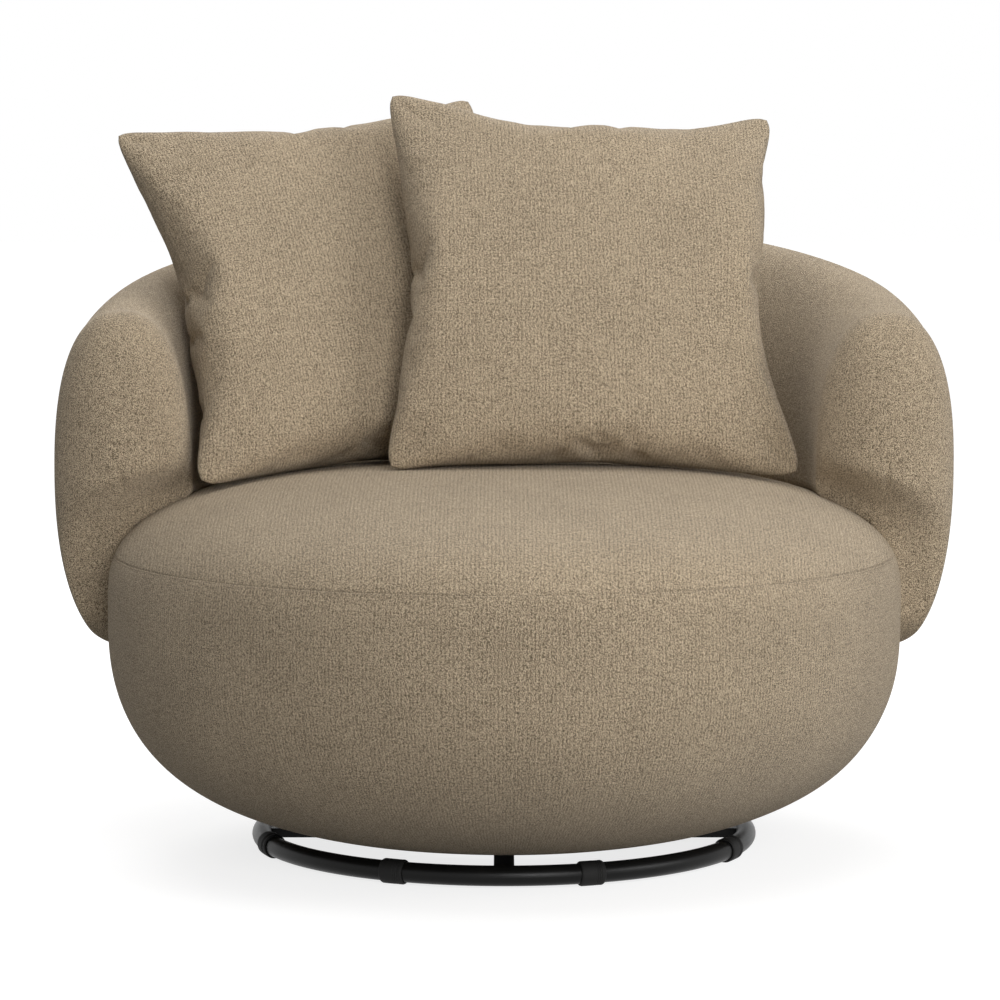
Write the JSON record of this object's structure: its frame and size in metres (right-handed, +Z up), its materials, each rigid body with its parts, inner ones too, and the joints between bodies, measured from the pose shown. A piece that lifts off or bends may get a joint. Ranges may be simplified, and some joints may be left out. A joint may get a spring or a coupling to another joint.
{
  "type": "swivel armchair",
  "caption": "Round upholstered swivel armchair: a drum seat wrapped by a horseshoe back, on a low tubular ring with a ball bearing swivel and loose scatter cushions.",
  "frame": {"origin": "on the floor under the swivel axis, which is at the middle of the base ring", "axes": "+Z up; the sitter faces -Y; +X is the viewer's right when seen from the front"},
  "size_m": [1.1428, 1.0814, 0.9494],
  "materials": {
    "black_tube": "satin black powder coat",
    "black_bar": "satin black powder coat",
    "black_rubber": "matte moulded rubber",
    "zinc_steel": "bright zinc plate",
    "ball_steel": "polished bearing steel",
    "cage_plastic": "moulded nylon",
    "plywood": "sawn birch plywood, unfinished",
    "hardboard": "smooth hardboard",
    "webbing": "woven elastic webbing",
    "foam": "open-cell cushion foam",
    "filling": "white fibre filling",
    "oat_fabric": "slubby oat-coloured weave with fine ribs, matte",
    "black_felt": "thin non-woven lining"
  },
  "bodies": {
    "base": {"base_ring": "black_tube", "glide_1": "black_rubber", "glide_2": "black_rubber", "glide_3": "black_rubber", "glide_4": "black_rubber", "glide_5": "black_rubber", "glide_6": "black_rubber", "glide_7": "black_rubber", "glide_8": "black_rubber", "cross_bar_long": "black_bar", "cross_bar_front": "black_bar", "cross_bar_rear": "black_bar", "lower_bolts": "zinc_steel", "lower_nuts": "zinc_steel", "swivel_lower_plate": "zinc_steel"},
    "bearing_cage": {"ball_cage": "cage_plastic", "bearing_balls": "ball_steel"},
    "seat": {"swivel_upper_plate": "zinc_steel", "upper_bolts": "zinc_steel", "tee_nuts": "zinc_steel", "back_bolts": "zinc_steel", "barrel_nuts": "zinc_steel", "seat_base_board": "plywood", "seat_top_ring": "plywood", "back_bottom_rail": "plywood", "back_top_rail": "plywood", "seat_rib_1": "plywood", "seat_rib_2": "plywood", "seat_rib_3": "plywood", "seat_rib_4": "plywood", "seat_rib_5": "plywood", "seat_rib_6": "plywood", "seat_rib_7": "plywood", "seat_rib_8": "plywood", "back_post_1": "plywood", "back_post_2": "plywood", "back_post_3": "plywood", "back_post_4": "plywood", "back_post_5": "plywood", "back_panel": "hardboard", "webbing_lengthwise": "webbing", "webbing_across": "webbing", "back_straps": "webbing", "seat_foam_top": "foam", "seat_foam_side": "foam", "back_foam_inside": "foam", "back_foam_outside": "foam", "seat_cover_top": "oat_fabric", "seat_cover_band": "oat_fabric", "back_cover_inside": "oat_fabric", "back_cover_outside": "oat_fabric", "seat_dust_cover": "black_felt"},
    "cushion_left": {"cushion_left_cover_front": "oat_fabric", "cushion_left_cover_back": "oat_fabric", "cushion_left_filling": "filling"},
    "cushion_right": {"cushion_right_cover_front": "oat_fabric", "cushion_right_cover_back": "oat_fabric", "cushion_right_filling": "filling"}
  },
  "joints": [
    {"name": "seat_swivel", "type": "hinge", "parent": "base", "child": "seat", "pos_m": [0, 0, 0.03], "axis": [0, 0, 1], "continuous": true},
    {"name": "ball_cage_turn", "type": "hinge", "parent": "base", "child": "bearing_cage", "pos_m": [0, 0, 0.03], "axis": [0, 0, 1], "continuous": true},
    {"name": "cushion_left_lift", "type": "slide", "parent": "seat", "child": "cushion_left", "axis": [-0.1499, 0.3074, 0.9397], "range_m": [0, 0.4]},
    {"name": "cushion_right_lift", "type": "slide", "parent": "seat", "child": "cushion_right", "axis": [0, 0, 1], "range_m": [0, 0.4]}
  ],
  "couplings": [
    {"joint": "ball_cage_turn", "follows": "seat_swivel", "ratio": 0.5}
  ]
}
